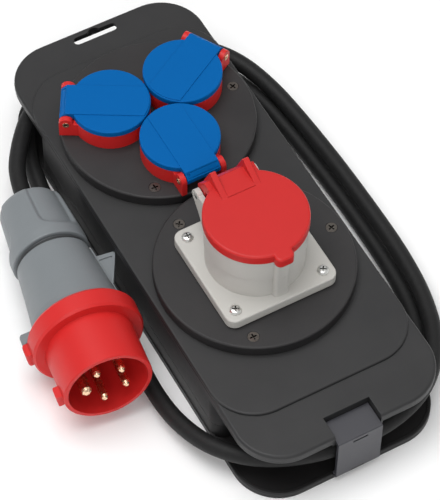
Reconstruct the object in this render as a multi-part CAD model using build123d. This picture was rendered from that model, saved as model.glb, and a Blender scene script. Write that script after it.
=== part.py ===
from build123d import *
import os
from math import sin, cos, radians, degrees, sqrt, tan, pi

# Portable power distribution box: a flat two-deck housing that its own supply cord is wound round,
# with three hinged domestic sockets and one five-pole industrial socket on round mounting discs.
# Millimetres, +Z up. The origin is the centre of the base at floor level.
# The housing is laid out about the centre of its end flanges, then shifted by FRAME_SHIFT_Y.

# ---------------------------------------------------------------- driving dimensions
FRAME_SHIFT_Y = 1.5

FLANGE_W = 132.4          # width of top and bottom plates (X)
FLANGE_L = 344.0          # length of top and bottom plates (Y)
FLANGE_R = 30.0           # plan corner radius of the plates
CORE_W = 131.0            # width of the closed core between the plates
CORE_L = 238.6            # length of the closed core
CORE_R = 10.0
WALL = 2.5
PARTING_Z = 17.0          # joint between base shell and upper shell
BASE_T = 3.5              # bottom plate thickness
RIM_Z = 5.0               # top of the rim round the bottom plate
LIP_Z0 = 40.5             # underside of the upper flange
COVER_Z0 = 43.0           # joint between upper shell and top cover
FLANGE_TOP = 47.6
DECK_TOP = 49.5
DECK_T = 3.0
DECK_Y0, DECK_Y1 = -140.0, 146.0
DECK_W = 131.6
DECK_R = 29.5

DISC_R = 62.1
DISC_Z0, DISC_Z1 = 50.4, 57.5
SCHUKO_Y = 77.65          # centre of the three-socket disc
CEE_Y = -46.9             # centre of the industrial socket disc
DISC_SCREW_RADIUS = 53.7
SOCKET_RADIUS = 29.5      # socket centres from the disc centre
SOCKET_ANGLES = {"a": 150.0, "b": 30.0, "c": 270.0}

COLLAR_R = 25.0
COLLAR_TOP = 69.4
RECESS_R = 19.8
RECESS_FLOOR = 52.0
LID_R = 25.2
LID_Z0, LID_Z1 = 69.8, 74.0
BAND_T = 0.6
LID_PIN_X, LID_PIN_Z = 27.1, 68.5
LID_PIN_R = 1.5
FLAP_HALF = 11.5

CEE_FLANGE = 75.0
CEE_SCREW_PITCH = 60.0
CEE_FLANGE_Z0, CEE_FLANGE_Z1 = 58.5, 65.5
CEE_BARREL_R = 31.3
CEE_BARREL_TOP = 101.3
CEE_STEP_Z = 84.0         # joint between the housing and the front ring of the barrel
CEE_BORE_R = 28.75
CEE_CARRIER_R = 23.5
CEE_CARRIER_TOP = 96.5
CEE_PIN_CIRCLE = 13.3
CEE_LID_R = 32.1
CEE_LID_Z0, CEE_LID_Z1 = 101.6, 108.5
CEE_PIN_Y, CEE_PIN_Z = 36.3, 94.0   # hinge axis from the socket centre

CLIP_HALF = 15.0
CLIP_Y0, CLIP_Y1 = -175.0, -172.8
CLIP_PIN_Y, CLIP_PIN_Z = -172.9, 5.9
CLIP_ARM_Z0, CLIP_ARM_Z1 = 40.0, 42.2
CLIP_BACK_Y = -157.0

HANG_Y0, HANG_Y1 = 161.5, 167.5
HANG_HALF = 15.4
HANG_PLATE_T = 2.4        # plate thickness round the slot

CORD_D = 11.0

# plug: mouth centre and a point on its axis towards the cord
PLUG_MOUTH = Vector(-113.35, -72.8, 39.2)
PLUG_AXIS = (Vector(-94.05, 77.2, 29.2) - PLUG_MOUTH).normalized()
PLUG_ROLL = 8.0
PLUG_LEN = 148.0
SHROUD_R, SHROUD_BORE = 28.0, 25.2
RING_R, RING_S0, RING_S1 = 35.2, 34.0, 48.0
BODY_R0, BODY_R1, BODY_S1 = 29.0, 23.7, 99.2
NUT0 = 103.0              # start of the gland nut, from the mouth
PAD_ANGLES = (-113.0, 7.0, 127.0)

os.makedirs("parts", exist_ok=True)
DONE = []


def save(name, *solids):
    """Write one node, shifted into the frame of the finished object."""
    flat = []
    for s in solids:
        flat += list(s.solids())
    flat = [Location((0, FRAME_SHIFT_Y, 0)) * s for s in flat]
    shape = flat[0] if len(flat) == 1 else Compound(children=flat)
    export_step(shape, f"parts/{name}.step")
    DONE.append((name, len(flat), round(sum(s.volume for s in flat), 1)))


def cyl(x, y, z0, z1, r):
    return Pos(x, y, (z0 + z1) / 2) * Cylinder(r, z1 - z0)


def box(x0, x1, y0, y1, z0, z1):
    return Pos((x0 + x1) / 2, (y0 + y1) / 2, (z0 + z1) / 2) * Box(x1 - x0, y1 - y0, z1 - z0)


def slab(w, l, r, z0, z1, y=0.0):
    return extrude(Pos(0, y, z0) * RectangleRounded(w, l, r), z1 - z0)


def cone(x, y, z0, z1, r0, r1):
    return Pos(x, y, (z0 + z1) / 2) * Cone(r0, r1, z1 - z0)


def turned(points):
    """Solid of revolution about Z from (radius, height) points."""
    return revolve(Plane.XZ * make_face(Polyline(*points, close=True)), Axis.Z)


def edges_at(shape, z, tol=0.01):
    return shape.edges().filter_by(lambda e: abs(e.bounding_box().min.Z - z) < tol and abs(e.bounding_box().max.Z - z) < tol)


def soft(shape, edges, r):
    """Fillet, keeping the plain edge where the kernel can't round it."""
    try:
        out = fillet(edges, r)
        return out if out.is_valid else shape
    except Exception:
        return shape


def wire_run(points, r, bend):
    """A round wire along straight runs joined by arcs."""
    path = FilletPolyline(*points, radius=bend) if len(points) > 2 else Line(*points)
    start = path @ 0
    face = Plane(origin=start, z_dir=path % 0) * Circle(r)
    return sweep(face, path=path)


disc_centres = {"schuko": SCHUKO_Y, "cee": CEE_Y}
socket_xy = {
    k: (SOCKET_RADIUS * cos(radians(a)), SCHUKO_Y + SOCKET_RADIUS * sin(radians(a)))
    for k, a in SOCKET_ANGLES.items()
}
disc_screws = {
    k: [(DISC_SCREW_RADIUS * cos(radians(a)), y + DISC_SCREW_RADIUS * sin(radians(a))) for a in (0, 120, 240)]
    for k, y in disc_centres.items()
}
case_screws = [(sx * 56.0, y) for sx in (-1, 1) for y in (-108.0, 12.0, 108.0)]

# ---------------------------------------------------------------- housing
# base shell: bottom plate with a rim, and the lower half of the core
base = slab(FLANGE_W, FLANGE_L, FLANGE_R, 0, RIM_Z)
base = soft(base, edges_at(base, RIM_Z), 0.7)
base -= slab(FLANGE_W - 4, FLANGE_L - 4, FLANGE_R - 2, BASE_T, RIM_Z + 1)
base += slab(CORE_W, CORE_L, CORE_R, 0, PARTING_Z)
base -= slab(CORE_W - 2 * WALL, CORE_L - 2 * WALL, CORE_R - WALL, 3.0, PARTING_Z + 1)
for x, y in case_screws:
    base += cyl(x, y, 2.5, PARTING_Z, 4.6)
for x, y in case_screws:
    base -= cyl(x, y, -1, 4.6, 4.0)
    base -= cyl(x, y, 3, PARTING_Z + 1, 2.0)
# room for the clip's knuckles, and the middle knuckle that carries its pin
for s in (-1, 1):
    base -= box(min(s * 4.7, s * 15.5), max(s * 4.7, s * 15.5), -173, -170.3, 3.4, 9)
base += box(-4.5, 4.5, -172.9, -169.4, 3.0, 5.9) + Pos(0, CLIP_PIN_Y, CLIP_PIN_Z) * Rot(0, 90, 0) * Cylinder(2.1, 9.0)
base -= Pos(0, CLIP_PIN_Y, CLIP_PIN_Z) * Rot(0, 90, 0) * Cylinder(1.05, 20)
# half of the cord entry, on the joint plane
entry = Pos(-42.0, -118.3, PARTING_Z) * Rot(0, 0, 45) * Rot(90, 0, 0) * Cylinder(5.6, 16)
base -= entry
save("base_shell", base)

# upper shell: upper half of the core walls, and the lower leaf of the top flanges
hang = box(-HANG_HALF + 3, HANG_HALF - 3, HANG_Y0, HANG_Y1, 38, 52)
for s in (-1, 1):
    hang += cyl(s * (HANG_HALF - 3), (HANG_Y0 + HANG_Y1) / 2, 38, 52, (HANG_Y1 - HANG_Y0) / 2)
hang += cyl(0, 165.0, 38, 52, 4.8) - box(-6, 6, 158, HANG_Y0, 38, 52)
# the flange is thin round the slot: a pocket in its underside
hang_pocket = slab(44.0, 15.0, 3.5, LIP_Z0 - 2, FLANGE_TOP - HANG_PLATE_T, 162.3)
upper = slab(CORE_W, CORE_L, CORE_R, PARTING_Z, LIP_Z0 + 0.1)
upper += slab(FLANGE_W - 0.6, FLANGE_L - 0.6, FLANGE_R - 0.3, LIP_Z0, COVER_Z0)
upper = soft(upper, edges_at(upper, LIP_Z0).filter_by(lambda e: e.length > 20 and abs(e.center().Y) > 150), 0.6)
upper -= slab(CORE_W - 2 * WALL, CORE_L - 2 * WALL, CORE_R - WALL, PARTING_Z - 1, COVER_Z0 + 1)
for x, y in case_screws:
    upper += cyl(x, y, PARTING_Z + 0.2, COVER_Z0, 4.5)
    upper += box(min(x, x * 64.0 / 56.0), max(x, x * 64.0 / 56.0), y - 1.5, y + 1.5, PARTING_Z + 2.3, COVER_Z0)
for x, y in case_screws:
    upper -= cyl(x, y, PARTING_Z - 1, COVER_Z0 + 1, 2.0)
upper -= hang
upper -= hang_pocket
upper += box(-CLIP_HALF - 2.0, CLIP_HALF + 2.0, -171.6, CLIP_BACK_Y + 2.0, CLIP_ARM_Z0 - 1.8, LIP_Z0 + 0.5)
upper -= box(-CLIP_HALF - 0.5, CLIP_HALF + 0.5, -180, CLIP_BACK_Y, CLIP_ARM_Z0 - 0.1, 50)
upper -= entry
# the joint line shows as a fine V groove
vgroove = slab(CORE_W + 2, CORE_L + 2, CORE_R + 1, PARTING_Z - 0.35, PARTING_Z + 0.35) - slab(CORE_W - 0.8, CORE_L - 0.8, CORE_R - 0.4, PARTING_Z - 1, PARTING_Z + 1)
upper -= vgroove
save("upper_shell", upper)

# top cover: end flanges and the raised deck, hollow below, with posts for the case screws
cover = slab(FLANGE_W, FLANGE_L, FLANGE_R, COVER_Z0 + 0.05, FLANGE_TOP)
cover = soft(cover, edges_at(cover, FLANGE_TOP), 1.9)
cover = soft(cover, edges_at(cover, COVER_Z0 + 0.05), 0.5)
deck = slab(DECK_W, DECK_Y1 - DECK_Y0, DECK_R, FLANGE_TOP - 2.5, DECK_TOP, (DECK_Y0 + DECK_Y1) / 2)
deck = soft(deck, edges_at(deck, DECK_TOP), 1.2)
cover += deck
cover -= slab(124.0, 234.0, 8.0, COVER_Z0 - 1, DECK_TOP - DECK_T)
for x, y in case_screws:
    cover += cyl(x, y, COVER_Z0 + 0.05, DECK_TOP - DECK_T + 0.5, 4.5)
for k in disc_screws:
    for x, y in disc_screws[k]:
        if abs(y) < 112:
            cover += cyl(x, y, 42.0, DECK_TOP - DECK_T + 0.5, 4.0)
for x, y in case_screws:
    cover -= cyl(x, y, COVER_Z0 - 1, DECK_TOP - 1.5, 1.85)
for k in disc_screws:
    for x, y in disc_screws[k]:
        cover -= cyl(x, y, 44.2, DECK_TOP + 1, 1.8)
for k in socket_xy:
    cover -= cyl(*socket_xy[k], 40, DECK_TOP + 1, 22.4)
cover -= cyl(0, CEE_Y, 40, DECK_TOP + 1, 27.0)
cover -= hang
cover -= hang_pocket
cover -= box(-CLIP_HALF - 0.5, CLIP_HALF + 0.5, -180, CLIP_BACK_Y, 40, 52)
save("top_cover", cover)

# sealing strip between the two shells, lying inside the joint
strip = slab(CORE_W - 2 * WALL - 0.2, CORE_L - 2 * WALL - 0.2, CORE_R - WALL, PARTING_Z - 2, PARTING_Z + 2)
strip -= slab(CORE_W - 2 * WALL - 3.0, CORE_L - 2 * WALL - 3.0, CORE_R - WALL - 1.2, PARTING_Z - 3, PARTING_Z + 3)
for x, y in case_screws:
    strip -= cyl(x, y, PARTING_Z - 3, PARTING_Z + 3, 4.9)
strip -= Pos(-42.0, -118.3, PARTING_Z) * Rot(0, 0, 45) * Rot(90, 0, 0) * Cylinder(6.4, 22)
save("joint_seal", strip)


def pan_screw(head_r, head_h, shank_r, length):
    """Pan-head screw, head sitting on z = 0, shank down."""
    head = turned([(0, 0), (head_r, 0), (head_r, head_h * 0.35), (head_r * 0.8, head_h * 0.8), (head_r * 0.45, head_h), (0, head_h)])
    body = head + Pos(0, 0, -length / 2) * Cylinder(shank_r, length)
    s = head_r * 1.15
    return body - (Pos(0, 0, head_h) * (Box(s, head_r * 0.24, head_h * 1.2) + Box(head_r * 0.24, s, head_h * 1.2)))


screws = []
for x, y in case_screws:
    screws.append(Pos(x, y, 4.55) * Rot(180, 0, 0) * pan_screw(3.6, 2.4, 1.8, 42.0))
save("case_screws", *screws)

# cable clip: hooks over the upper flange and swings down on a pin in the base
clip = box(-CLIP_HALF, CLIP_HALF, CLIP_Y0, CLIP_Y1, CLIP_PIN_Z, CLIP_ARM_Z1)
clip += box(-CLIP_HALF, CLIP_HALF, CLIP_Y0, CLIP_BACK_Y - 0.3, CLIP_ARM_Z0, CLIP_ARM_Z1)
clip = soft(clip, clip.edges().filter_by(Axis.X).filter_by(lambda e: e.center().Z > CLIP_ARM_Z1 - 0.6 and e.center().Y < -174), 0.8)
for s in (-1, 1):
    clip += Pos(s * 9.95, CLIP_PIN_Y, CLIP_PIN_Z) * Rot(0, 90, 0) * Cylinder(2.1, 10.1)
clip -= Pos(0, CLIP_PIN_Y, CLIP_PIN_Z) * Rot(0, 90, 0) * Cylinder(2.35, 9.8)
clip -= Pos(0, CLIP_PIN_Y, CLIP_PIN_Z) * Rot(0, 90, 0) * Cylinder(1.1, 40)
clip -= box(-5.0, 5.0, CLIP_Y0 - 1, CLIP_Y1 + 1, 38.0, 39.4)
save("cable_clip", clip)
save("clip_hinge_pin", Pos(0, CLIP_PIN_Y, CLIP_PIN_Z) * Rot(0, 90, 0) * Cylinder(1.0, 29.0))

# ---------------------------------------------------------------- mounting discs
def disc(kind, bores):
    y = disc_centres[kind]
    d = cyl(0, y, DISC_Z0, DISC_Z1, DISC_R)
    d = soft(d, edges_at(d, DISC_Z1), 1.3)
    seal = cyl(0, y, DECK_TOP, DISC_Z0, 60.0)
    for x, yy, r in bores:
        d -= cyl(x, yy, 45, 60, r)
        seal -= cyl(x, yy, 45, 60, r + 0.2)
    for x, yy in disc_screws[kind]:
        d -= cyl(x, yy, 45, 60, 2.0)
        d -= cone(x, yy, DISC_Z1 - 2.2, DISC_Z1 + 0.1, 1.85, 4.05)
        seal -= cyl(x, yy, 45, 60, 2.4)
    return d, seal


d, s = disc("schuko", [(*socket_xy[k], 22.2) for k in socket_xy])
save("socket_disc", d)
save("socket_disc_seal", s)
d, s = disc("cee", [(0, CEE_Y, 26.6)])
for sx in (-1, 1):
    for sy in (-1, 1):
        d -= cyl(sx * CEE_SCREW_PITCH / 2, CEE_Y + sy * CEE_SCREW_PITCH / 2, 51.9, 60, 2.0)
save("industrial_disc", d)
save("industrial_disc_seal", s)


def flat_screw():
    """Countersunk screw with its face just below the top of its disc."""
    f = DISC_Z1 - 0.2
    s = turned([(0, 45.6), (1.7, 45.6), (1.7, f - 1.95), (3.55, f - 0.1), (3.55, f), (0, f)])
    return s - Pos(0, 0, f) * (Box(4.4, 0.9, 2.6) + Box(0.9, 4.4, 2.6))


for kind, name in (("schuko", "socket_disc_screws"), ("cee", "industrial_disc_screws")):
    save(name, *[Pos(x, y, 0) * Rot(0, 0, 20 + 35 * i) * flat_screw() for i, (x, y) in enumerate(disc_screws[kind])])

# ---------------------------------------------------------------- domestic sockets
# Local frame of a socket: origin on its axis, +X towards its hinge.
housing = cyl(0, 0, DISC_Z1 + 0.05, COLLAR_TOP, COLLAR_R)
housing += cyl(0, 0, 30.0, DISC_Z1 + 1, 22.0)
for sgn in (-1, 1):
    y0, y1 = (12.0, 15.5) if sgn > 0 else (-15.5, -12.0)
    housing += box(17.0, LID_PIN_X, y0, y1, DISC_Z1 + 0.25, LID_PIN_Z)
    housing += box(LID_PIN_X - 1, 31.6, y0, y1, DISC_Z1 + 0.25, LID_PIN_Z)
    housing += Pos(LID_PIN_X, (y0 + y1) / 2, LID_PIN_Z) * Rot(90, 0, 0) * Cylinder(4.5, 3.5)
housing -= box(22.5, 40, -12.0, 12.0, 62.5, 80)
housing -= cyl(0, 0, 33.0, COLLAR_TOP + 1, RECESS_R)
housing -= Pos(LID_PIN_X, 0, LID_PIN_Z) * Rot(90, 0, 0) * Cylinder(1.55, 60)
for y in (-9.5, 9.5):
    housing -= cyl(0, y, 28, 34, 2.2)

insert = cyl(0, 0, 34.3, RECESS_FLOOR, 19.6)
insert = soft(insert, edges_at(insert, RECESS_FLOOR), 0.6)
for sgn in (-1, 1):
    insert -= box(min(sgn * 17.3, sgn * 21), max(sgn * 17.3, sgn * 21), -3.3, 3.3, 30, 60)
for y in (-9.5, 9.5):
    insert -= cyl(0, y, 49, 55, 2.7) + cyl(0, y, 36.2, 49, 3.35) + cyl(0, y, 33, 37, 1.5)

earth = box(-19.3, 19.3, -3, 3, 33.05, 34.05)
for sgn in (-1, 1):
    earth += box(min(sgn * 17.7, sgn * 19.3), max(sgn * 17.7, sgn * 19.3), -3, 3, 33.05, 65.0)

sleeve = cyl(0, 0, 36.3, 48.8, 3.2) - cyl(0, 0, 37.6, 50, 2.45) + cyl(0, 0, 28.0, 36.4, 1.3)

lid = cyl(0, 0, LID_Z0, LID_Z1, LID_R)
lid = soft(lid, edges_at(lid, LID_Z1), 0.9)
band = cyl(0, 0, LID_Z1 - 0.5, LID_Z1 + BAND_T, LID_R - 0.9) & box(-30, 30, -FLAP_HALF, FLAP_HALF, 60, 90)
flap = extrude(Plane.XZ.offset(-FLAP_HALF) * make_face(Polyline(
    (12, LID_Z0), (12, LID_Z1 + BAND_T), (LID_PIN_X + 0.5, LID_Z1 + BAND_T), (31.35, 70.4), (31.35, LID_PIN_Z),
    (LID_PIN_X, LID_PIN_Z - 1.0), (LID_PIN_X - 4.2, LID_PIN_Z), (LID_PIN_X - 4.2, LID_Z0), close=True)), 2 * FLAP_HALF)
lid += band + flap + Pos(LID_PIN_X, 0, LID_PIN_Z) * Rot(90, 0, 0) * Cylinder(4.25, 2 * FLAP_HALF)
lid -= cyl(0, 0, LID_Z0 - 1, 71.3, 22.3) - box(21.0, 40, -30, 30, 60, 80)
lid -= Pos(LID_PIN_X, 0, LID_PIN_Z) * Rot(90, 0, 0) * Cylinder(1.6, 40)
lid -= Pos(LID_PIN_X, 0, LID_PIN_Z) * Rot(90, 0, 0) * Cylinder(3.1, 8.4)
# the hinge end has a fine groove along it and a notch for the spring's tail
slope = Plane(origin=(29.5, 0, 72.5), z_dir=(4.2, 0, 3.75), x_dir=(0, 1, 0))
lid -= slope.location * Pos(0, 1.75, 0) * Box(2 * FLAP_HALF - 1.6, 0.45, 0.7)
lid -= slope.location * Pos(0, -1.7, 0) * Box(2 * FLAP_HALF - 1.6, 0.45, 0.7)
lid -= slope.location * Pos(-FLAP_HALF + 2.2, 0.2, 0) * Box(1.3, 2.2, 1.0)
# finger lip at the front of the lid
lid += (cyl(0, 0, LID_Z0, LID_Z0 + 1.6, LID_R) & box(-26, -22.4, -7, 7, 60, 80))

gasket = cyl(0, 0, 69.5, 71.25, 22.1) - cyl(0, 0, 69, 72, 20.3)
gasket -= box(20.9, 40, -30, 30, 60, 80)

pin = Pos(LID_PIN_X, 0, LID_PIN_Z) * Rot(90, 0, 0) * (Cylinder(LID_PIN_R, 31.8) + Pos(0, 0, 15.8) * Cylinder(2.1, 0.5) + Pos(0, 0, -15.8) * Cylinder(2.1, 0.5) - Pos(0, 0, 15.9) * Cylinder(0.85, 3) - Pos(0, 0, -15.9) * Cylinder(0.85, 3))

# close-wound return spring round the pin
bumps = [(1.62, -3.9)]
n = 7
for i in range(n):
    y = -3.9 + (i + 0.5) * 7.8 / n
    bumps += [(2.3, y - 0.5), (2.85, y - 0.2), (2.85, y + 0.2), (2.3, y + 0.5)]
bumps += [(1.62, 3.9)]
spring = Pos(LID_PIN_X, 0, LID_PIN_Z) * Rot(90, 0, 0) * turned(bumps)

nut = cyl(0, 0, 41.6, 46.4, 24.2) - cyl(0, 0, 41, 48, 22.05)
for a in range(0, 360, 30):
    nut -= Rot(0, 0, a) * Pos(24.2, 0, 45) * Box(1.6, 4, 8)

sleeves, earths, nuts, pins, springs = [], [], [], [], []
for k, (x, y) in socket_xy.items():
    place = Pos(x, y, 0) * Rot(0, 0, SOCKET_ANGLES[k])
    save(f"socket_housing_{k}", place * housing)
    save(f"socket_insert_{k}", place * insert)
    save(f"socket_lid_{k}", place * lid)
    save(f"lid_gasket_{k}", place * gasket)
    pins.append(place * pin)
    springs.append(place * spring)
    sleeves += [place * Pos(0, yy, 0) * sleeve for yy in (-9.5, 9.5)]
    earths.append(place * earth)
    nuts.append(place * nut)
save("socket_contact_sleeves", *sleeves)
save("socket_earth_clips", *earths)
save("socket_lock_nuts", *nuts)
save("lid_hinge_pins", *pins)
save("lid_springs", *springs)

# ---------------------------------------------------------------- industrial socket
cee = slab(CEE_FLANGE, CEE_FLANGE, 6.5, CEE_FLANGE_Z0, CEE_FLANGE_Z1)
cee = soft(cee, edges_at(cee, CEE_FLANGE_Z1), 1.2)
cee += cyl(0, 0, CEE_FLANGE_Z1 - 1, CEE_STEP_Z, CEE_BARREL_R - 0.7)
key = slab(10.4, 12, 2.6, CEE_FLANGE_Z1 - 1, CEE_BARREL_TOP, -27.6)
cee += key & slab(100, 100, 5, 60, CEE_STEP_Z)
cee -= cyl(0, 0, 62.0, 110, CEE_BORE_R)
cee -= cyl(0, 0, 30, 70, 23.6)
cee -= box(-4.4, 4.4, -31.3, -20, 64, 110)
for sx in (-1, 1):
    for sy in (-1, 1):
        cee -= cyl(sx * 30, sy * 30, 50, 70, 2.25)
# front ring of the barrel, with the hinge brackets at the back
collar = cyl(0, 0, CEE_STEP_Z + 0.04, CEE_BARREL_TOP, CEE_BARREL_R)
collar += key & slab(100, 100, 5, CEE_STEP_Z + 0.04, 120)
bracket = extrude(Plane.YZ.offset(17.3) * make_face(Polyline(
    (24, CEE_STEP_Z + 0.04), (34.5, CEE_STEP_Z + 0.04), (CEE_PIN_Y + 3.9, 91.4), (CEE_PIN_Y, 97.6), (24, 97.6), close=True)), 3.6)
bracket += Pos(19.1, CEE_PIN_Y, CEE_PIN_Z) * Rot(0, 90, 0) * Cylinder(4.7, 3.6)
collar += bracket + mirror(bracket, Plane.YZ)
collar -= cyl(0, 0, 62.0, 110, CEE_BORE_R)
collar -= box(-4.4, 4.4, -31.3, -20, 64, 110)
collar -= Pos(0, CEE_PIN_Y, CEE_PIN_Z) * Rot(0, 90, 0) * Cylinder(1.8, 60)
cee_at = Pos(0, CEE_Y, 0)
# webs under the brackets, on the lower barrel
web = extrude(Plane.YZ.offset(17.3) * make_face(Polyline((24, 70), (25.5, 70), (34.0, CEE_STEP_Z), (24, CEE_STEP_Z), close=True)), 3.6)
cee += (web + mirror(web, Plane.YZ)) - cyl(0, 0, 60, 110, CEE_BORE_R)
save("industrial_housing", cee_at * cee)
save("industrial_collar", cee_at * collar)

fseal = slab(CEE_FLANGE - 1.0, CEE_FLANGE - 1.0, 6.0, DISC_Z1, CEE_FLANGE_Z0) - cyl(0, 0, 50, 60, 26.6)
for sx in (-1, 1):
    for sy in (-1, 1):
        fseal -= cyl(sx * 30, sy * 30, 50, 70, 2.4)
save("industrial_flange_seal", cee_at * fseal)
save("industrial_flange_screws", *[
    Pos(sx * 30, CEE_Y + sy * 30, CEE_FLANGE_Z1) * Rot(0, 0, 25 + 40 * sx + 10 * sy) * pan_screw(3.6, 2.5, 1.9, 13.0)
    for sx in (-1, 1) for sy in (-1, 1)])

carrier = cyl(0, 0, 58.0, CEE_CARRIER_TOP, CEE_CARRIER_R) + cyl(0, 0, 30.0, CEE_FLANGE_Z0 - 0.05, 26.0)
carrier = soft(carrier, edges_at(carrier, CEE_CARRIER_TOP), 0.8)
pins_at = [(CEE_PIN_CIRCLE * cos(radians(-90 + 72 * i)), CEE_PIN_CIRCLE * sin(radians(-90 + 72 * i))) for i in range(5)]
for i, (x, y) in enumerate(pins_at):
    face_r, bore_r = (3.7, 4.8) if i == 0 else (2.75, 3.7)
    carrier -= cyl(x, y, 92, 100, face_r) + cyl(x, y, 40.0, 92.0, bore_r) + cyl(x, y, 28, 41, 1.7)
save("industrial_contact_carrier", cee_at * carrier)


def tube(x, y, ro, ri):
    return cyl(x, y, 40.2, 91.8, ro) - cyl(x, y, 44.0, 95, ri) + cyl(x, y, 28.0, 40.4, 1.5)


save("industrial_contact_sleeves", *[cee_at * tube(x, y, 3.6, 2.6) for x, y in pins_at[1:]])
save("industrial_earth_sleeve", cee_at * tube(*pins_at[0], 4.7, 3.6))

clid = cyl(0, 0, CEE_LID_Z0, CEE_LID_Z1, CEE_LID_R)
nose = slab(12.0, 12.0, 3.5, CEE_LID_Z0, CEE_LID_Z1, -31.2)
clid += nose
clid = soft(clid, edges_at(clid, CEE_LID_Z1), 1.5)
tail = extrude(Plane.YZ.offset(-16.8) * make_face(Polyline(
    (22, CEE_LID_Z0), (22, CEE_LID_Z1 - 0.4), (34.0, CEE_LID_Z1 - 0.4), (41.0, 99.5), (41.0, CEE_PIN_Z),
    (CEE_PIN_Y, CEE_PIN_Z - 1), (CEE_PIN_Y - 4.5, CEE_PIN_Z), (CEE_PIN_Y - 4.5, CEE_LID_Z0), close=True)), 33.6)
tail += Pos(0, CEE_PIN_Y, CEE_PIN_Z) * Rot(0, 90, 0) * Cylinder(4.6, 33.6)
rib = extrude(Plane.YZ.offset(9.2) * make_face(Polyline(
    (17.5, CEE_LID_Z1 - 1.5), (17.5, CEE_LID_Z1), (31.6, 115.0), (33.0, 115.7), (34.2, 115.0), (40.6, 100.5), (38, 97), (28, 103), close=True)), 3.8)
clid += tail + rib + mirror(rib, Plane.YZ)
clid += box(-9.3, 9.3, 17.5, 33.0, CEE_LID_Z1 - 1, CEE_LID_Z1 + 0.5)
clid -= cyl(0, 0, CEE_LID_Z0 - 1, 103.2, 30.2)
clid -= Pos(0, CEE_PIN_Y, CEE_PIN_Z) * Rot(0, 90, 0) * Cylinder(1.85, 60)
clid -= Pos(0, CEE_PIN_Y, CEE_PIN_Z) * Rot(0, 90, 0) * Cylinder(3.5, 12.6)
save("industrial_lid", cee_at * clid)
cgasket = cyl(0, 0, 101.4, 103.1, 30.1) - cyl(0, 0, 101, 104, 28.0)
cgasket -= box(-4.6, 4.6, -40, -26.6, 100, 105)
save("industrial_lid_gasket", cee_at * cgasket)
save("industrial_hinge_pin", cee_at * (Pos(0, CEE_PIN_Y, CEE_PIN_Z) * Rot(0, 90, 0) * Cylinder(1.75, 41.6)))
bumps = [(1.87, -6.0)]
n = 9
for i in range(n):
    y = -6.0 + (i + 0.5) * 12.0 / n
    bumps += [(2.6, y - 0.6), (3.25, y - 0.25), (3.25, y + 0.25), (2.6, y + 0.6)]
bumps += [(1.87, 6.0)]
save("industrial_lid_spring", cee_at * (Pos(0, CEE_PIN_Y, CEE_PIN_Z) * Rot(0, 90, 0) * turned(bumps)))

# ---------------------------------------------------------------- wiring inside the core
TB_Y0, TB_Y1, TB_Z0, TB_Z1 = -7.0, 13.0, 3.05, 25.0
block = box(-26, 26, TB_Y0, TB_Y1, TB_Z0, TB_Z1)
for i in range(5):
    x = -20 + 10 * i
    block -= cyl(x, -2.0, 17.0, TB_Z1 + 1, 2.6) + cyl(x, 8.0, 17.0, TB_Z1 + 1, 2.6)
    if i < 4:
        block -= box(x + 4.5, x + 5.5, TB_Y0 - 1, TB_Y1 + 1, 21.0, TB_Z1 + 1)
save("terminal_block", block)
tscrews = []
for i in range(5):
    for y in (-2.0, 8.0):
        tscrews.append(cyl(-20 + 10 * i, y, 17.05, 22.5, 2.3) - box(-20 + 10 * i - 3, -20 + 10 * i + 3, y - 0.4, y + 0.4, 21.3, 23))
save("terminal_screws", *tscrews)

WIRE_R = 1.4


def drop(x, y, level, xt, yt):
    """Wire down from a contact, across, and squarely into the terminal block."""
    step = -9.0 if yt < 3 else 9.0
    return wire_run([(x, y, 27.95), (x, y, level), (xt, yt + step, level), (xt, yt, level)], WIRE_R, 3.0)


def contact_xy(k, side):
    a = radians(SOCKET_ANGLES[k])
    x, y = socket_xy[k]
    return x - side * 9.5 * sin(a), y + side * 9.5 * cos(a)


phase, neutral = [], []
cee_xy = [(x, y + CEE_Y) for x, y in pins_at]
phase.append(drop(*cee_xy[3], 11.0, -10.0, TB_Y0 - 0.02))
phase.append(drop(*cee_xy[4], 11.0, -20.0, TB_Y0 - 0.02))
phase.append(drop(*cee_xy[2], 11.0, 0.0, TB_Y0 - 0.02))
neutral.append(drop(*cee_xy[1], 11.0, 10.0, TB_Y0 - 0.02))
ax_, ay_ = contact_xy("a", 1)
bx_, by_ = contact_xy("a", -1)
la, na = ((ax_, ay_), (bx_, by_)) if ax_ < bx_ else ((bx_, by_), (ax_, ay_))
phase.append(drop(*la, 8.0, -20.0, TB_Y1 + 0.02))
neutral.append(drop(*na, 8.0, 10.0, TB_Y1 + 0.02))
p, q = sorted([contact_xy("b", 1), contact_xy("b", -1)])
phase.append(drop(*p, 13.0, -10.0, TB_Y1 + 0.02))
neutral.append(drop(*q, 13.0, 12.5, TB_Y1 + 0.02))
p, q = sorted([contact_xy("c", 1), contact_xy("c", -1)])
phase.append(drop(*p, 19.5, 0.0, TB_Y1 + 0.02))
neutral.append(drop(*q, 19.5, 10.0, TB_Y1 + 0.02))
save("phase_wires", *phase)
save("neutral_wires", *neutral)

# earth: a three-armed strap under the socket housings, and its wire, and the wire of the industrial socket
strap = cyl(0, SCHUKO_Y, 27.0, 28.5, 7.0)
for k, a in SOCKET_ANGLES.items():
    strap += Pos(0, SCHUKO_Y, 27.75) * Rot(0, 0, a) * Pos(9, 0, 0) * Box(18, 6, 1.5)
    strap += Pos(0, SCHUKO_Y, 0) * Rot(0, 0, a) * cyl(15.5, 0, 27.0, 29.9, 1.6)
save("earth_strap", strap)
earthw = [
    wire_run([(0, SCHUKO_Y, 26.95), (0, SCHUKO_Y, 19.5), (18, 58, 19.5), (20, TB_Y1 + 9, 19.5), (20, TB_Y1 + 0.02, 19.5)], WIRE_R, 3.0),
    wire_run([(*cee_xy[0], 27.95), (*cee_xy[0], 11.0), (24, -58, 11.0), (20, TB_Y0 - 9, 11.0), (20, TB_Y0 - 0.02, 11.0)], WIRE_R, 3.0),
]
save("earth_wires", *earthw)

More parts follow.
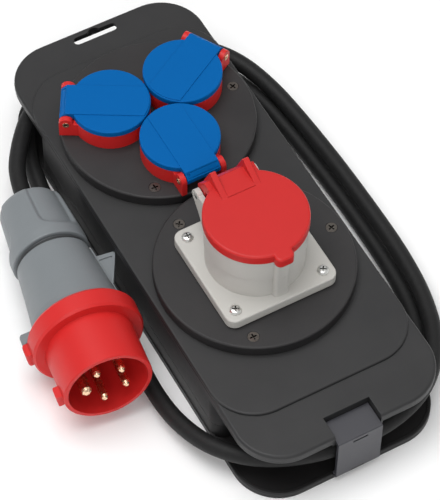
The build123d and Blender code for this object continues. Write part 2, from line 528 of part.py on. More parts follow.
# ---------------------------------------------------------------- cord outlet
u = 0.70710678
FACE = (-32.5, -127.8)          # centre of the slanted outlet face
outlet = extrude(Pos(0, 0, 6.5) * make_face(Polyline(
    (-54, -119.35), (-24.0, -119.35), (-41.0, -136.3), (-54, -136.3), close=True)), 21.0)
outlet = soft(outlet, outlet.edges().filter_by(Axis.Z).filter_by(lambda e: e.center().Y < -130), 3.0)
bore = Pos(FACE[0], FACE[1], PARTING_Z) * Rot(0, 0, 45) * Rot(90, 0, 0) * Cylinder(5.6, 40)
outlet -= bore
save("cord_outlet", outlet)
GLAND_L = 18.0
gl = Plane(origin=(FACE[0] + 0.05 * u, FACE[1] - 0.05 * u, PARTING_Z), z_dir=(u, -u, 0))
gland = turned([(0, 0), (9.6, 0), (9.6, 4.0), (8.6, 4.8), (8.6, 7.0), (8.2, 7.4), (7.6, 11.0), (7.9, 11.4), (7.3, 14.4), (7.6, 14.8), (6.6, GLAND_L), (0, GLAND_L)])
gland = gl.location * (gland - Pos(0, 0, GLAND_L / 2) * Cylinder(4.7, 2 * GLAND_L))
save("cord_gland", gland)
tail_in = wire_run([(FACE[0] + 18.0 * u, FACE[1] - 18.0 * u, PARTING_Z), (FACE[0] - 17.5 * u, FACE[1] + 17.5 * u, PARTING_Z), (-43.5, -88, 15.0), (-44, -40, 14.0), (-40, 3, 14.0), (-26.02, 3, 14.0)], 4.6, 8.0)
save("supply_tail", tail_in)

# ---------------------------------------------------------------- free cord
A = PLUG_AXIS
E = Vector(FACE[0] + (GLAND_L + 0.06) * u, FACE[1] - (GLAND_L + 0.06) * u, PARTING_Z)
REAR = PLUG_MOUTH + A * (PLUG_LEN + 0.02)
ROUTE = [
    E, E + Vector(15.9 * u, -15.9 * u, 0), Vector(5.8, -158.8, 14.6), Vector(22.1, -160.7, 12.5), Vector(44, -155.8, 12.2), Vector(66.2, -137.2, 12.4),
    Vector(80.8, -110, 11.2), Vector(88.5, -79, 8.0), Vector(91, -46, 6.2), Vector(91.4, -8, 6), Vector(90.2, 30, 6.1),
    Vector(87.8, 64, 7.2), Vector(82.5, 96, 10.4), Vector(70, 125, 12.4), Vector(48.5, 147.5, 12.8), Vector(18, 159.5, 12.4),
    Vector(-13, 163.2, 12.3), Vector(-39.5, 159.3, 12.4), Vector(-59.5, 145.5, 12.5), Vector(-71.3, 124, 11.6), Vector(-75.6, 98, 9.0), Vector(-77.9, 70, 6.6),
    Vector(-78.8, 38, 6.1), Vector(-79.1, 0, 6), Vector(-80.1, -38, 6.2), Vector(-83.4, -72, 8.5), Vector(-82.5, -101, 13.5),
    Vector(-74, -129, 19), Vector(-54, -151, 22), Vector(-26, -163.2, 22.8), Vector(4, -167.2, 22.6), Vector(36.5, -164.8, 22.9),
    Vector(63.5, -151.5, 22.4), Vector(82.6, -127, 20.6), Vector(93.2, -96, 17.9), Vector(98.0, -60, 16.0), Vector(98.5, -20, 15.5),
    Vector(97.8, 20, 15.4), Vector(95.3, 58, 16.0), Vector(90.7, 92, 18.6), Vector(80, 121, 22.8), Vector(59, 143.4, 25.2),
    Vector(29.5, 154, 25.6), Vector(-3, 156.5, 26.4), Vector(-34.7, 153.8, 27.2), Vector(-61.4, 140, 28.4), Vector(-79.2, 118.7, 28.8),
    REAR + A * 24, REAR,
]
radii = []
for i in range(1, len(ROUTE) - 1):
    p, q = ROUTE[i] - ROUTE[i - 1], ROUTE[i + 1] - ROUTE[i]
    turn = radians(p.get_angle(q))
    radii.append(0.45 * min(p.length, q.length) / tan(turn / 2))
print("cord bend radii in diameters:", [round(r / CORD_D, 1) for r in radii])
cord_path = FilletPolyline(*ROUTE, radius=[min(r, 2000.0) for r in radii])
cord = sweep(Plane(origin=cord_path @ 0, z_dir=cord_path % 0) * Circle(CORD_D / 2), path=cord_path)
print("cord length", round(cord_path.length, 1), "volume ratio", round(cord.volume / (pi * (CORD_D / 2) ** 2 * cord_path.length), 4))
save("cord", cord)

# ---------------------------------------------------------------- plug on the cord
e1 = Vector(0, 0, 1).cross(A).normalized() * -1
e1 = e1 if e1.X > 0 else e1 * -1
e2 = e1.cross(A)
e2 = e2 if e2.Z > 0 else e2 * -1
xdir = e1 * cos(radians(PLUG_ROLL)) + e2 * sin(radians(PLUG_ROLL))
PL = Plane(origin=PLUG_MOUTH, x_dir=xdir, z_dir=A)      # local +X: side with the loop, -X: side with the key


def put(shape):
    return PL.location * shape


shroud = turned([(SHROUD_BORE, 0), (SHROUD_R - 0.6, 0), (SHROUD_R, 0.6), (SHROUD_R + 0.2, RING_S0), (RING_R - 1.2, RING_S0), (RING_R, RING_S0 + 1.4),
                 (RING_R, RING_S1 - 2.0), (RING_R - 1.5, RING_S1), (23.0, RING_S1), (23.0, 45.0), (SHROUD_BORE, 45.0)])
shroud += soft(box(-31.6, -27, -4.6, 4.6, 3.0, 11.0), box(-31.6, -27, -4.6, 4.6, 3.0, 11.0).edges().filter_by(lambda e: e.center().X < -31), 1.0)
latch = box(-38.4, -33, -5.4, 5.4, 38.5, 47.5)
shroud += soft(latch, latch.edges().filter_by(lambda e: e.center().X < -38), 1.8)
save("plug_shroud", put(shroud))

pcarrier = cyl(0, 0, 38.0, 44.9, 25.1) + cyl(0, 0, 44.0, 62.0, 20.0)
ppins = [(CEE_PIN_CIRCLE * cos(radians(180 + 72 * i)), CEE_PIN_CIRCLE * sin(radians(180 + 72 * i))) for i in range(5)]
for i, (x, y) in enumerate(ppins):
    pcarrier -= cyl(x, y, 30, 70, 3.55 if i == 0 else 2.55)
save("plug_pin_carrier", put(pcarrier))


PIN_TIP = 0.7


def plug_pin(x, y, r):
    p = Pos(x, y, 0) * turned([(0, PIN_TIP), (r * 0.45, PIN_TIP + 0.15), (r * 0.8, PIN_TIP + 1.0), (r, PIN_TIP + 2.4), (r, 58.0), (0, 58.0)])
    return put(p)


save("plug_contact_pins", *[plug_pin(x, y, 2.5) for x, y in ppins[1:]])
save("plug_earth_pin", plug_pin(*ppins[0], 3.5))

body = turned([(22.0, RING_S1 + 0.05), (BODY_R0, RING_S1 + 0.05), (BODY_R0 - 0.3, 56.0), (26.8, 70.0), (BODY_R1, BODY_S1), (20.6, BODY_S1), (22.2, 70.0), (22.4, 52.0), (22.0, 52.0)])
# a rib along the side of the housing, the webbed finger tab on it, and the lug behind the latch
body += box(22.5, 28.6, -1.5, 1.5, 56.0, 98.0) & turned([(0, 56), (29.2, 56), (27.8, 70), (24.9, 98), (0, 98)])
tab = extrude(Plane.XZ.offset(-1.6) * make_face(Polyline((22.6, 64.0), (27.4, 65.4), (36.7, 87.0), (36.9, 88.6), (35.8, 89.6), (22.6, 91.2), close=True)), 3.2)
dish = make_face(Polyline((27.2, 69.4), (27.9, 69.8), (34.4, 86.0), (34.0, 87.0), (26.0, 87.6), close=True))
for d0 in (-1.7, 0.55):
    tab -= extrude(Plane.XZ.offset(-d0 - 1.15) * dish, 1.15)
hollow = turned([(0, 50), (22.2, 50), (22.2, 70), (20.6, BODY_S1 + 1), (0, BODY_S1 + 1)])
body += tab - hollow
lug = box(-37.6, -28, -5.4, 5.4, 46.2, 55.0)
lug = soft(lug, lug.edges().filter_by(lambda e: e.center().X < -37), 2.0)
body += lug - turned([(0, 40), (RING_R + 0.3, 40), (RING_R + 0.3, RING_S1 + 0.05), (0, RING_S1 + 0.05)]) - hollow - box(-40, -30, -7, 7, 40, 47.6)
save("plug_housing", put(body))

ring = turned([(19.4, BODY_S1 + 0.05), (22.3, BODY_S1 + 0.05), (22.3, NUT0 - 0.05), (19.4, NUT0 - 0.05)])
save("plug_seal_ring", put(ring))

pnut = turned([(18.6, NUT0), (24.4, NUT0), (25.1, NUT0 + 0.9), (25.1, NUT0 + 6.6), (24.4, NUT0 + 8.6), (22.5, NUT0 + 10.8), (20.0, 143.0), (18.6, 147.0), (17.6, PLUG_LEN), (8.6, PLUG_LEN), (8.6, 136.0), (16.4, 136.0), (18.2, 118.0), (18.6, NUT0 + 2)])
grip = turned([(17.4, NUT0 + 9.0), (24.3, NUT0 + 9.0), (21.8, 141.0), (17.2, 146.4)])
wedge = extrude(Pos(0, 0, 100) * make_face(Polyline((0, 0), (40 * cos(radians(31)), -40 * sin(radians(31))), (40 * cos(radians(31)), 40 * sin(radians(31))), close=True)), 60)
core_void = turned([(0, 100), (18.6, 100), (18.6, 105), (18.2, 118), (16.4, 136), (8.6, 136), (8.6, 149), (0, 149)])
for a0 in PAD_ANGLES:
    pnut += (grip & (Rot(0, 0, a0) * wedge)) - core_void
save("plug_gland_nut", put(pnut))
save("plug_grommet", put(cyl(0, 0, 136.2, PLUG_LEN - 0.02, 8.5)))

for row in DONE:
    print(*row)
print(len(DONE), "nodes")
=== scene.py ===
import math
import bpy
import bmesh
from mathutils import Matrix, Vector


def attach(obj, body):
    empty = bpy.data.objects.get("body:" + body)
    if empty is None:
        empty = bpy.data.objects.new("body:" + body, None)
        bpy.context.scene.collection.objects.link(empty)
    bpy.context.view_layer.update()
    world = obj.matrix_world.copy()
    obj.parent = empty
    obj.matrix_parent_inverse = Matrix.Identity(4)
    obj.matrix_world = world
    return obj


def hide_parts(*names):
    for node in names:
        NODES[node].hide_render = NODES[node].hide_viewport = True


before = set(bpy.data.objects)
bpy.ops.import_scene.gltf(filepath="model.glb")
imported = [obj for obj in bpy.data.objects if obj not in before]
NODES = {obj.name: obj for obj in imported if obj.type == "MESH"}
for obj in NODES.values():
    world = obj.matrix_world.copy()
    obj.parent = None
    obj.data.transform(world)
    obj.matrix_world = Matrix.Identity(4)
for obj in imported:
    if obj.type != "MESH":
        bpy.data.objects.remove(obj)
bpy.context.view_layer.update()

SHIFT = 0.0015        # the CAD's shift along Y
scene = bpy.context.scene
scene.view_settings.view_transform = "Standard"

# ------------------------------------------------------------------ camera
cam_data = bpy.data.cameras.new("camera")
cam = bpy.data.objects.new("camera", cam_data)
scene.collection.objects.link(cam)
eye = Vector((-0.4501, -0.8015, 1.3432))
fwd = Vector((0.2789, 0.4951, -0.8228)).normalized()
right0 = fwd.cross(Vector((0, 0, 1))).normalized()
up0 = right0.cross(fwd)
roll = math.radians(0.75)
right = right0 * math.cos(roll) + up0 * math.sin(roll)
up = up0 * math.cos(roll) - right0 * math.sin(roll)
turn = Matrix((right, up, -fwd)).transposed().to_4x4()
cam.matrix_world = Matrix.Translation(eye) @ turn
cam_data.sensor_width = 36.0
cam_data.lens = 185.55
cam_data.clip_start, cam_data.clip_end = 0.05, 50.0
scene.camera = cam


# ------------------------------------------------------------------ small tools
def lin(r, g, b):
    """Linear colour from 8-bit display values."""
    out = []
    for v in (r, g, b):
        v = v / 255.0
        out.append(v / 12.92 if v <= 0.04045 else ((v + 0.055) / 1.055) ** 2.4)
    return (*out, 1.0)


def add_object(name, data, body="root", material=None):
    ob = bpy.data.objects.new(name, data)
    scene.collection.objects.link(ob)
    if material:
        data.materials.clear()
        data.materials.append(material)
    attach(ob, body)
    return ob


# ------------------------------------------------------------------ materials
class Graph:
    def __init__(self, name):
        self.mat = bpy.data.materials.new(name)
        self.mat.use_nodes = True
        self.tree = self.mat.node_tree
        self.tree.nodes.clear()

    def node(self, kind, _in=None, **props):
        n = self.tree.nodes.new(kind)
        for k, v in props.items():
            setattr(n, k, v)
        for k, v in (_in or {}).items():
            if isinstance(v, bpy.types.NodeSocket):
                self.tree.links.new(v, n.inputs[k])
            else:
                n.inputs[k].default_value = v
        return n

    def maths(self, op, a, b=0.0, clamp=False):
        return self.node("ShaderNodeMath", {0: a, 1: b}, operation=op, use_clamp=clamp).outputs[0]

    def ramp(self, fac, stops):
        n = self.node("ShaderNodeValToRGB", {"Fac": fac})
        el = n.color_ramp.elements
        while len(el) < len(stops):
            el.new(0.5)
        for e, (p, c) in zip(el, stops):
            e.position, e.color = p, c
        return n.outputs[0]

    def mix(self, fac, a, b, kind="MIX"):
        n = self.node("ShaderNodeMix", data_type="RGBA", blend_type=kind)
        for s, v in ((n.inputs[0], fac), (n.inputs[6], a), (n.inputs[7], b)):
            if isinstance(v, bpy.types.NodeSocket):
                self.tree.links.new(v, s)
            else:
                s.default_value = v
        return n.outputs[2]


def shade(c, f):
    return (min(c[0] * f, 1), min(c[1] * f, 1), min(c[2] * f, 1), 1.0)


def moulded(name, colour, rough=0.45, grain=0.00004, grain_size=0.0007, mottle=0.06, edge_wear_and_highlight_amount=0.10, edge_wear_and_highlight_tint=1.5,
            edge=0.0004, spec=0.45, coat=0.0, lines=None, dust=0.05):
    """Moulded plastic: eroded grain, slow colour mottling, finger-worn edges painted lighter (wear plus a painted edge
    highlight), and a fine haze of dust.
    """
    g = Graph(name)
    at = g.node("ShaderNodeTexCoord").outputs["Object"]
    big = g.node("ShaderNodeTexNoise", {"Vector": at, "Scale": 28.0, "Detail": 5.0, "Roughness": 0.6}).outputs[0]
    mid = g.node("ShaderNodeTexNoise", {"Vector": at, "Scale": 190.0, "Detail": 4.0, "Roughness": 0.65}).outputs[0]
    fine = g.node("ShaderNodeTexNoise", {"Vector": at, "Scale": 1.0 / grain_size, "Detail": 3.0, "Roughness": 0.7}).outputs[0]
    pits = g.node("ShaderNodeTexVoronoi", {"Vector": at, "Scale": 0.8 / grain_size}, feature="SMOOTH_F1").outputs[0]
    base = g.mix(g.maths("MULTIPLY_ADD", big, 1.0), shade(colour, 1 - mottle), shade(colour, 1 + mottle))
    base = g.mix(g.ramp(mid, [(0.42, (0, 0, 0, 1)), (0.72, (1, 1, 1, 1))]), base, shade(colour, 1 + mottle * 0.7))
    # lighter, smoother edges: partly wear where handling polishes them, partly a painted highlight along the rims
    rounded = g.node("ShaderNodeBevel", {"Radius": edge * 2.2}, samples=6).outputs[0]
    true_n = g.node("ShaderNodeNewGeometry").outputs["Normal"]
    agree = g.node("ShaderNodeVectorMath", {0: rounded, 1: true_n}, operation="DOT_PRODUCT").outputs["Value"]
    edge_wear_and_highlight = g.maths("MULTIPLY", g.maths("SUBTRACT", 1.0, agree, True), 3.0, True)
    edge_wear_and_highlight = g.maths("MULTIPLY", edge_wear_and_highlight, g.ramp(mid, [(0.3, (0.25, 0.25, 0.25, 1)), (0.7, (1, 1, 1, 1))]))
    edge_wear_and_highlight = g.maths("MULTIPLY", edge_wear_and_highlight, edge_wear_and_highlight_amount, True)
    base = g.mix(edge_wear_and_highlight, base, shade(colour, edge_wear_and_highlight_tint) if max(colour[:3]) > 0.02 else (0.12, 0.12, 0.12, 1))
    # dust that settles on what faces up
    up_z = g.node("ShaderNodeSeparateXYZ", {0: true_n}).outputs[2]
    settle = g.maths("MULTIPLY", g.maths("MULTIPLY", up_z, big, True), dust, True)
    base = g.mix(settle, base, (0.30, 0.29, 0.28, 1))
    r = g.maths("ADD", rough - 0.07, g.maths("MULTIPLY", mid, 0.10))
    r = g.maths("ADD", r, g.maths("MULTIPLY", big, 0.06))
    r = g.maths("SUBTRACT", r, g.maths("MULTIPLY", edge_wear_and_highlight, 0.25), True)
    height = g.maths("ADD", g.maths("MULTIPLY", fine, 0.7), g.maths("MULTIPLY", pits, 0.5))
    if lines:
        height = g.maths("ADD", height, lines(g, at))
    soft = g.node("ShaderNodeBevel", {"Radius": edge}, samples=4).outputs[0]
    bump = g.node("ShaderNodeBump", {"Height": height, "Normal": soft, "Strength": 0.55, "Distance": grain}).outputs[0]
    bsdf = g.node("ShaderNodeBsdfPrincipled", {"Base Color": base, "Roughness": r, "Normal": bump,
                                               "Specular IOR Level": spec, "Coat Weight": coat, "Coat Roughness": 0.25})
    g.node("ShaderNodeOutputMaterial", {"Surface": bsdf.outputs[0]})
    return g.mat


def metal(name, colour, rough=0.28, brushed=0.35, tarnish_and_recess_shade=(0.2, 0.17, 0.12, 1), tarnish_amount=0.25):
    """Plated or drawn metal: fine scratches, tarnish in patches, and painted shade darkening the recesses."""
    g = Graph(name)
    at = g.node("ShaderNodeTexCoord").outputs["Object"]
    stretched = g.node("ShaderNodeMapping", {"Vector": at, "Scale": (900, 900, 5200)}).outputs[0]
    scratch = g.node("ShaderNodeTexNoise", {"Vector": stretched, "Scale": 1.0, "Detail": 4.0, "Roughness": 0.7}).outputs[0]
    patch = g.node("ShaderNodeTexNoise", {"Vector": at, "Scale": 420.0, "Detail": 5.0, "Roughness": 0.65}).outputs[0]
    dark = g.ramp(patch, [(0.45, (0, 0, 0, 1)), (0.75, (1, 1, 1, 1))])
    base = g.mix(g.maths("MULTIPLY", dark, tarnish_amount), colour, tarnish_and_recess_shade)
    # painted shade: ambient occlusion darkens the recesses, standing in for the shadow inside them
    painted_recess_shade = g.node("ShaderNodeAmbientOcclusion", {"Distance": 0.0016}, samples=8, only_local=True).outputs["AO"]
    base = g.mix(g.ramp(painted_recess_shade, [(0.35, (1, 1, 1, 1)), (0.85, (0, 0, 0, 1))]), base, shade(tarnish_and_recess_shade, 0.25))
    r = g.maths("ADD", rough - 0.06, g.maths("MULTIPLY", scratch, 0.16))
    r = g.maths("ADD", r, g.maths("MULTIPLY", dark, 0.12), True)
    soft = g.node("ShaderNodeBevel", {"Radius": 0.00022}, samples=4).outputs[0]
    bump = g.node("ShaderNodeBump", {"Height": scratch, "Normal": soft, "Strength": brushed, "Distance": 0.00003}).outputs[0]
    bsdf = g.node("ShaderNodeBsdfPrincipled", {"Base Color": base, "Roughness": r, "Normal": bump, "Metallic": 1.0})
    g.node("ShaderNodeOutputMaterial", {"Surface": bsdf.outputs[0]})
    return g.mat


# the edge tints below paint the rims lighter: partly wear, partly a painted highlight (strongest on inner_black and the
# red lid)
BLACK = moulded("housing_black", lin(39, 39, 40), rough=0.44, grain=0.00006, edge_wear_and_highlight_amount=0.30, edge_wear_and_highlight_tint=3.2, mottle=0.10, edge=0.0005, spec=0.30)
DISC = moulded("disc_black", lin(35, 34, 35), rough=0.50, grain=0.00010, grain_size=0.0009, edge_wear_and_highlight_amount=0.30, edge_wear_and_highlight_tint=3.4, mottle=0.20, edge=0.0005, spec=0.30)
INNER = moulded("inner_black", lin(19, 18, 19), rough=0.42, grain=0.00005, edge_wear_and_highlight_amount=0.35, edge_wear_and_highlight_tint=6.0, mottle=0.15, spec=0.28)
CLIP = moulded("clip_grey", lin(53, 53, 59), rough=0.36, grain=0.00003, edge_wear_and_highlight_amount=0.25, edge_wear_and_highlight_tint=1.9, mottle=0.05, spec=0.5)
SEAL_GREY = moulded("gland_rubber", lin(62, 64, 66), rough=0.42, grain=0.00003, edge_wear_and_highlight_amount=0.2, edge_wear_and_highlight_tint=1.6, mottle=0.1, spec=0.45)
SEAL = moulded("seal_rubber", lin(20, 20, 20), rough=0.6, grain=0.00003, edge_wear_and_highlight_amount=0.1, edge_wear_and_highlight_tint=2.5, mottle=0.15, spec=0.3)
BLUE = moulded("blue_plastic", lin(0, 90, 158), rough=0.52, grain=0.00003, grain_size=0.0005, edge_wear_and_highlight_amount=0.40, edge_wear_and_highlight_tint=1.45, mottle=0.05, dust=0.0, spec=0.07)
RED_LID = moulded("lid_red", lin(186, 33, 32), rough=0.40, grain=0.00003, grain_size=0.0005, edge_wear_and_highlight_amount=0.45, edge_wear_and_highlight_tint=1.5, mottle=0.07, dust=0.0, edge=0.0009, spec=0.30)
RED = moulded("red_plastic", lin(199, 36, 35), rough=0.42, grain=0.00003, grain_size=0.0005, edge_wear_and_highlight_amount=0.40, edge_wear_and_highlight_tint=1.35, mottle=0.06, dust=0.01, spec=0.32)
LIGHT = moulded("light_grey_plastic", lin(186, 184, 179), rough=0.42, grain=0.00003, edge_wear_and_highlight_amount=0.2, edge_wear_and_highlight_tint=1.12, mottle=0.03, dust=0.03, spec=0.4)
CARRIER = moulded("carrier_grey", lin(58, 60, 62), rough=0.5, grain=0.00003, edge_wear_and_highlight_amount=0.15, edge_wear_and_highlight_tint=1.8)
CARRIER_RED = moulded("carrier_red", lin(140, 16, 18), rough=0.45, grain=0.00003, edge_wear_and_highlight_amount=0.2, edge_wear_and_highlight_tint=1.3)
PLUG = moulded("plug_grey", lin(118, 123, 126), rough=0.42, grain=0.00005, grain_size=0.0006, edge_wear_and_highlight_amount=0.35, edge_wear_and_highlight_tint=1.35, mottle=0.06, dust=0.02, spec=0.4)
ZINC = metal("zinc_steel", (0.72, 0.72, 0.70, 1), 0.24, tarnish_and_recess_shade=(0.30, 0.29, 0.26, 1))
BRONZE = metal("dark_steel", (0.135, 0.122, 0.11, 1), 0.30, tarnish_and_recess_shade=(0.05, 0.043, 0.036, 1), tarnish_amount=0.5)
BRASS = metal("brass", (0.95, 0.66, 0.44, 1), 0.22, tarnish_and_recess_shade=(0.58, 0.30, 0.16, 1), tarnish_amount=0.25)
WIRE_A = moulded("wire_brown", lin(92, 52, 30), rough=0.5)
WIRE_B = moulded("wire_blue", lin(40, 90, 190), rough=0.5)
WIRE_C = moulded("wire_green", lin(120, 160, 40), rough=0.5)


def sheath():
    """Rubber cord sheath: matt, with fine lengthwise drawing marks, chalky bloom and small scuffs."""
    g = Graph("cable_rubber")
    at = g.node("ShaderNodeTexCoord").outputs["Object"]
    big = g.node("ShaderNodeTexNoise", {"Vector": at, "Scale": 45.0, "Detail": 5.0, "Roughness": 0.6}).outputs[0]
    fine = g.node("ShaderNodeTexNoise", {"Vector": at, "Scale": 1500.0, "Detail": 4.0, "Roughness": 0.7}).outputs[0]
    mid = g.node("ShaderNodeTexNoise", {"Vector": at, "Scale": 330.0, "Detail": 5.0, "Roughness": 0.7}).outputs[0]
    base = g.mix(big, lin(20, 20, 21), lin(32, 32, 32))
    base = g.mix(g.ramp(mid, [(0.52, (0, 0, 0, 1)), (0.85, (0.7, 0.7, 0.7, 1))]), base, lin(50, 50, 50))
    r = g.maths("ADD", 0.46, g.maths("MULTIPLY", mid, 0.22))
    bump = g.node("ShaderNodeBump", {"Height": g.maths("ADD", fine, g.maths("MULTIPLY", mid, 1.4)), "Strength": 0.6, "Distance": 0.00006}).outputs[0]
    bsdf = g.node("ShaderNodeBsdfPrincipled", {"Base Color": base, "Roughness": r, "Normal": bump, "Specular IOR Level": 0.26})
    g.node("ShaderNodeOutputMaterial", {"Surface": bsdf.outputs[0]})
    return g.mat


CABLE = sheath()

# ------------------------------------------------------------------ the supply cord
U = 0.70710678
FACE = (-32.5, -127.8)
E = Vector((FACE[0] + 18.06 * U, FACE[1] - 18.06 * U, 17.0))
MOUTH = Vector((-113.35, -72.8, 39.2))
AXIS = (Vector((-94.05, 77.2, 29.2)) - MOUTH).normalized()
REAR = MOUTH + AXIS * 148.02
ROUTE = [
    E, E + Vector((15.9 * U, -15.9 * U, 0)), (5.8, -158.8, 14.6), (22.1, -160.7, 12.5), (44, -155.8, 12.2), (66.2, -137.2, 12.4),
    (80.8, -110, 11.2), (88.5, -79, 8.0), (91, -46, 6.2), (91.4, -8, 6), (90.2, 30, 6.1),
    (87.8, 64, 7.2), (82.5, 96, 10.4), (70, 125, 12.4), (48.5, 147.5, 12.8), (18, 159.5, 12.4),
    (-13, 163.2, 12.3), (-39.5, 159.3, 12.4), (-59.5, 145.5, 12.5), (-71.3, 124, 11.6), (-75.6, 98, 9.0), (-77.9, 70, 6.6),
    (-78.8, 38, 6.1), (-79.1, 0, 6), (-80.1, -38, 6.2), (-83.4, -72, 8.5), (-82.5, -101, 13.5),
    (-74, -129, 19), (-54, -151, 22), (-26, -163.2, 22.8), (4, -167.2, 22.6), (36.5, -164.8, 22.9),
    (63.5, -151.5, 22.4), (82.6, -127, 20.6), (93.2, -96, 17.9), (98.0, -60, 16.0), (98.5, -20, 15.5),
    (97.8, 20, 15.4), (95.3, 58, 16.0), (90.7, 92, 18.6), (80, 121, 22.8), (59, 143.4, 25.2),
    (29.5, 154, 25.6), (-3, 156.5, 26.4), (-34.7, 153.8, 27.2), (-61.4, 140, 28.4), (-79.2, 118.7, 28.8),
    REAR + AXIS * 24, REAR,
]
POINTS = [Vector((p[0] / 1000, p[1] / 1000 + SHIFT, p[2] / 1000)) for p in ROUTE]
curve = bpy.data.curves.new("cord_curve", "CURVE")
curve.dimensions = "3D"
curve.bevel_depth = 0.0055
curve.bevel_resolution = 9
curve.resolution_u = 16
curve.use_fill_caps = True
spline = curve.splines.new("NURBS")
spline.points.add(len(POINTS) - 1)
for pt, p in zip(spline.points, POINTS):
    pt.co = (*p, 1.0)
spline.order_u = 3
spline.use_endpoint_u = True
cord = add_object("supply_cord", curve, "root", CABLE)
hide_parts("cord")

# ------------------------------------------------------------------ materials of the CAD nodes
LOOK = {
    BLACK: "upper_shell top_cover cord_outlet",
    INNER: "base_shell",
    CLIP: "cable_clip",
    DISC: "socket_disc industrial_disc cord_gland",
    SEAL: "joint_seal socket_disc_seal industrial_disc_seal lid_gasket_a lid_gasket_b lid_gasket_c industrial_flange_seal "
          "industrial_lid_gasket plug_seal_ring plug_grommet",
    ZINC: "case_screws clip_hinge_pin industrial_flange_screws industrial_hinge_pin lid_springs industrial_lid_spring socket_earth_clips earth_strap",
    BRONZE: "socket_disc_screws industrial_disc_screws",
    BRASS: "socket_contact_sleeves industrial_contact_sleeves industrial_earth_sleeve lid_hinge_pins terminal_screws plug_contact_pins plug_earth_pin",
    BLUE: "socket_lid_a socket_lid_b socket_lid_c",
    CARRIER: "socket_insert_a socket_insert_b socket_insert_c socket_lock_nuts industrial_contact_carrier",
    CARRIER_RED: "plug_pin_carrier",
    RED_LID: "industrial_lid",
    RED: "plug_shroud socket_housing_a socket_housing_b socket_housing_c",
    LIGHT: "industrial_housing industrial_collar terminal_block",
    PLUG: "plug_housing plug_gland_nut",
    WIRE_A: "phase_wires", WIRE_B: "neutral_wires", WIRE_C: "earth_wires", CABLE: "supply_tail cord",
}
dressed = set()
for material, names in LOOK.items():
    for n in names.split():
        o = NODES[n]
        o.data.materials.clear()
        o.data.materials.append(material)
        dressed.add(n)
assert dressed == set(NODES), set(NODES) ^ dressed

# ------------------------------------------------------------------ the plug's gland nut and seal, in the plug's own frame
PX = Vector((0.98334, -0.11727, 0.13887))
PX = (PX - AXIS * PX.dot(AXIS)).normalized()
PY = AXIS.cross(PX)


def smooth(a, b, x):
    k = min(max((x - a) / (b - a), 0.0), 1.0)
    return k * k * (3 - 2 * k)


def along(table, s):
    for (s0, r0), (s1, r1) in zip(table, table[1:]):
        if s <= s1:
            return r0 + (r1 - r0) * (s - s0) / (s1 - s0)
    return table[-1][1]


def turned_mesh(name, stations, radius, steps=168):
    """Closed ring of quads about the plug's axis; stations is the closed profile as (distance, which surface)."""
    bm = bmesh.new()
    rings = []
    for station in stations:
        ring = []
        for i in range(steps):
            th = 2 * math.pi * i / steps
            r = radius(station, th)
            p = (MOUTH + AXIS * station[0] + (PX * math.cos(th) + PY * math.sin(th)) * r) / 1000
            ring.append(bm.verts.new((p.x, p.y + SHIFT, p.z)))
        rings.append(ring)
    for a, b in zip(rings, rings[1:] + rings[:1]):
        for i in range(steps):
            j = (i + 1) % steps
            bm.faces.new((a[i], a[j], b[j], b[i]))
    bmesh.ops.recalc_face_normals(bm, faces=bm.faces)
    for f in bm.faces:
        f.smooth = True
    mesh = bpy.data.meshes.new(name)
    bm.to_mesh(mesh)
    bm.free()
    return mesh


NUT = [(103.0, 24.3), (103.25, 24.75), (103.8, 25.05), (109.4, 25.1), (110.6, 24.95), (111.6, 24.45), (112.6, 23.6), (113.8, 22.85),
       (115.5, 22.4), (118.0, 22.1), (141.0, 20.15), (144.5, 19.75), (146.3, 19.1), (147.3, 18.3), (147.9, 17.3), (148.0, 16.6)]
PAD = [(103.0, 24.3), (103.25, 24.75), (103.8, 25.05), (109.4, 25.1), (112.0, 24.95), (116.0, 24.5), (139.5, 22.15), (143.5, 21.5),
       (145.6, 20.6), (147.0, 19.2), (147.8, 17.6), (148.0, 16.6)]
PADS = [math.radians(a) for a in (-113.0, 7.0, 127.0)]


def nut_radius(station, th):
    s, fixed = station
    if fixed:
        return fixed
    low, high = along(NUT, s), along(PAD, s)
    off = min(abs((th - a + math.pi) % (2 * math.pi) - math.pi) for a in PADS)
    half = math.radians(29.5 + 34.0 * math.exp(-max(s - 110.5, 0.0) / 2.6))
    edge = math.radians(2.6 + 9.0 * math.exp(-max(s - 110.5, 0.0) / 3.5))
    groove = 0.6 * math.exp(-(((off - half) / math.radians(2.2)) ** 2)) * smooth(113.5, 118.0, s) * (1 - smooth(141.0, 145.5, s))
    return low + (high - low) * (1 - smooth(half - edge, half + edge, off)) - groove


outer = sorted({round(s, 3) for s, _ in NUT + PAD} | {103.0 + 0.55 * i for i in range(82)})
stations = [(s, None) for s in outer if s <= 148.0]
stations += [(148.0, 9.6), (147.4, 8.6), (136.0, 8.6), (136.0, 16.2), (118.0, 18.0), (103.0, 18.4)]
nut = add_object("gland_nut", turned_mesh("gland_nut", stations, nut_radius), "root", PLUG)
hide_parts("plug_gland_nut")

BEADS = [(99.3, 19.5), (99.3, 21.6), (99.7, 22.5), (100.2, 22.6), (100.6, 22.2), (100.75, 21.4), (101.3, 21.2), (101.6, 22.3), (102.0, 22.9),
         (102.4, 22.8), (102.8, 22.2), (102.95, 21.4), (102.95, 19.5)]
seal = add_object("gland_seal", turned_mesh("gland_seal", BEADS, lambda st, th: st[1]), "root", SEAL_GREY)
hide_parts("plug_seal_ring")

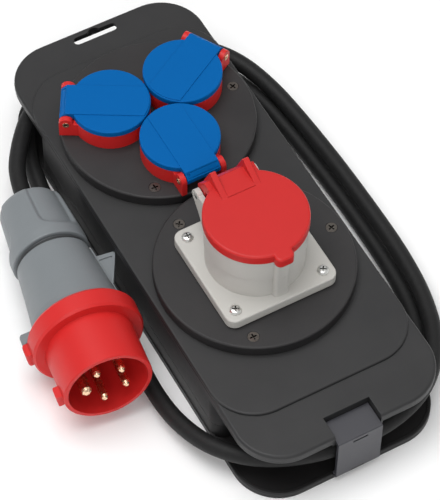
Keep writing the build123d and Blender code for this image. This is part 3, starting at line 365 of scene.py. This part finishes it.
# ------------------------------------------------------------------ floor and light
me = bpy.data.meshes.new("floor")
me.from_pydata([(-6, -6, 0), (6, -6, 0), (6, 6, 0), (-6, 6, 0)], [], [(0, 1, 2, 3)])
floor = bpy.data.objects.new("floor", me)
scene.collection.objects.link(floor)
floor.location.z = -0.0003
g = Graph("floor_paper")
at = g.node("ShaderNodeTexCoord").outputs["Object"]
n1 = g.node("ShaderNodeTexNoise", {"Vector": at, "Scale": 3.0, "Detail": 3.0}).outputs[0]
base = g.mix(n1, (0.955, 0.955, 0.955, 1), (0.975, 0.975, 0.975, 1))
bsdf = g.node("ShaderNodeBsdfPrincipled", {"Base Color": base, "Roughness": 0.9, "Specular IOR Level": 0.1})
g.node("ShaderNodeOutputMaterial", {"Surface": bsdf.outputs[0]})
me.materials.append(g.mat)

world = bpy.data.worlds.new("studio")
scene.world = world
world.use_nodes = True
wt = world.node_tree
bg = wt.nodes["Background"]
coord = wt.nodes.new("ShaderNodeTexCoord")
height = wt.nodes.new("ShaderNodeSeparateXYZ")
sky = wt.nodes.new("ShaderNodeValToRGB")
wt.links.new(coord.outputs["Generated"], height.inputs[0])
wt.links.new(height.outputs[2], sky.inputs[0])
wt.links.new(sky.outputs[0], bg.inputs[0])
for e, (p, v) in zip([sky.color_ramp.elements[0], sky.color_ramp.elements[1], sky.color_ramp.elements.new(0.5)],
                     [(0.0, 1.0), (1.0, 0.35), (0.42, 0.22)]):
    e.position, e.color = p, (v, v, v, 1)
bg.inputs[1].default_value = 0.85


def area(name, at, look, size, power, colour=(1, 1, 1)):
    d = bpy.data.lights.new(name, "AREA")
    d.shape, d.size, d.size_y, d.energy, d.color = "RECTANGLE", size[0], size[1], power, colour
    ob = bpy.data.objects.new(name, d)
    scene.collection.objects.link(ob)
    ob.location = at
    ob.rotation_mode = "QUATERNION"
    ob.rotation_quaternion = (Vector(look) - Vector(at)).to_track_quat("-Z", "Y")
    return ob


area("key", (-0.38, 0.18, 1.9), (0, 0, 0.03), (1.2, 1.2), 22.0)
area("front_fill", (-0.9, -1.6, 1.5), (0, 0, 0.04), (1.2, 0.9), 10.5)
area("right_fill", (1.7, -0.4, 1.0), (0, 0, 0.04), (0.9, 0.9), 1.5)
